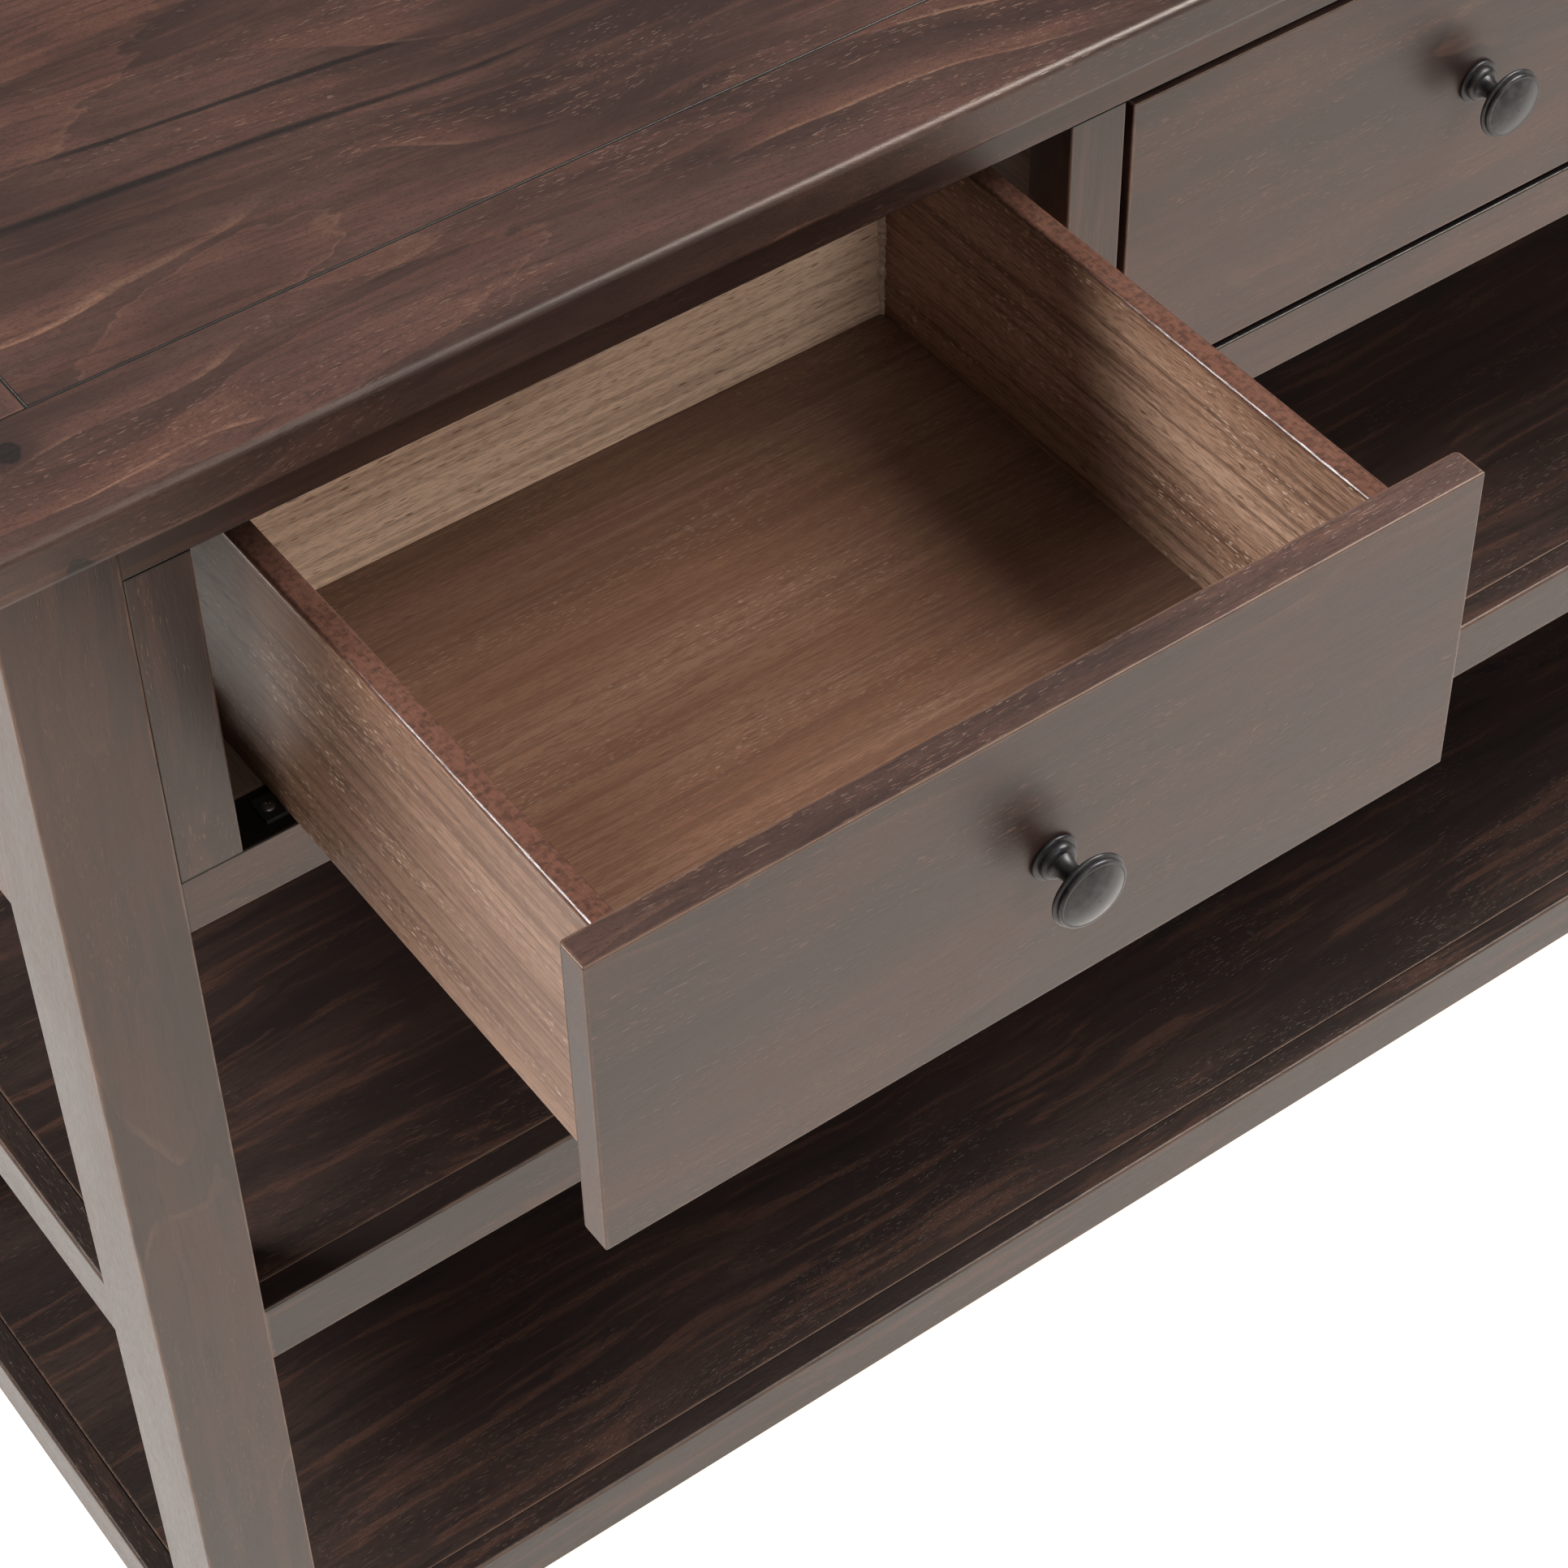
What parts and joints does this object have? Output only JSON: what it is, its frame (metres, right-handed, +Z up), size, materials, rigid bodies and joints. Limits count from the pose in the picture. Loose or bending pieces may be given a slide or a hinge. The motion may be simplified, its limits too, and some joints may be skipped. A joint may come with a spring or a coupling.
{
  "type": "kitchen island",
  "caption": "Freestanding kitchen island in dark stained wood, with three inset drawers under a board worktop and open shelves between square legs.",
  "frame": {"origin": "on the floor, under the middle of the worktop", "axes": "+X along the front to the right seen from the front, +Y to the back, +Z up"},
  "size_m": [1.4276, 0.701, 0.914],
  "materials": {
    "stained_wood": "dark walnut stain under satin lacquer",
    "drawer_wood": "mid brown stain, thin satin lacquer",
    "inner_wood": "thinly stained softwood, inside the case",
    "dark_metal": "satin dark pewter plating",
    "steel_screw": "zinc plated steel",
    "nylon": "black nylon"
  },
  "bodies": {
    "cabinet": {"back_apron": "stained_wood", "back_left_leg": "stained_wood", "back_right_leg": "stained_wood", "bottom_shelf_back_rail": "stained_wood", "bottom_shelf_end_rails": "stained_wood", "bottom_shelf_front_rail": "stained_wood", "bottom_shelf_panel": "stained_wood", "centre_bay_runners": "inner_wood", "drawer_glides": "nylon", "drawer_guides": "inner_wood", "drawer_kickers": "inner_wood", "drawer_stops": "inner_wood", "foot_glides": "nylon", "front_bay_rail": "stained_wood", "front_left_leg": "stained_wood", "front_right_leg": "stained_wood", "front_top_rail": "stained_wood", "glide_screws": "steel_screw", "glue_blocks": "inner_wood", "guide_screws": "steel_screw", "left_apron": "stained_wood", "left_bay_runners": "inner_wood", "left_divider": "inner_wood", "left_middle_stile": "stained_wood", "left_stile": "stained_wood", "middle_shelf_back_rail": "stained_wood", "middle_shelf_end_rails": "stained_wood", "middle_shelf_front_rail": "stained_wood", "middle_shelf_panel": "stained_wood", "right_apron": "stained_wood", "right_bay_runners": "inner_wood", "right_divider": "inner_wood", "right_middle_stile": "stained_wood", "right_stile": "stained_wood", "top_back_board": "stained_wood", "top_field_panel": "stained_wood", "top_front_board": "stained_wood", "top_left_end_board": "stained_wood", "top_right_end_board": "stained_wood"},
    "left_drawer": {"left_drawer_back": "drawer_wood", "left_drawer_bottom": "drawer_wood", "left_drawer_front": "stained_wood", "left_drawer_knob": "dark_metal", "left_drawer_knob_screw": "steel_screw", "left_drawer_left_side": "drawer_wood", "left_drawer_right_side": "drawer_wood"},
    "centre_drawer": {"centre_drawer_back": "drawer_wood", "centre_drawer_bottom": "drawer_wood", "centre_drawer_front": "stained_wood", "centre_drawer_knob": "dark_metal", "centre_drawer_knob_screw": "steel_screw", "centre_drawer_left_side": "drawer_wood", "centre_drawer_right_side": "drawer_wood"},
    "right_drawer": {"right_drawer_back": "drawer_wood", "right_drawer_bottom": "drawer_wood", "right_drawer_front": "stained_wood", "right_drawer_knob": "dark_metal", "right_drawer_knob_screw": "steel_screw", "right_drawer_left_side": "drawer_wood", "right_drawer_right_side": "drawer_wood"}
  },
  "joints": [
    {"name": "left_drawer_slide", "type": "slide", "parent": "cabinet", "child": "left_drawer", "axis": [0, -1, 0], "range_m": [-0.239, 0.021]},
    {"name": "centre_drawer_slide", "type": "slide", "parent": "cabinet", "child": "centre_drawer", "axis": [0, -1, 0], "range_m": [0, 0.26]},
    {"name": "right_drawer_slide", "type": "slide", "parent": "cabinet", "child": "right_drawer", "axis": [0, -1, 0], "range_m": [0, 0.26]}
  ]
}
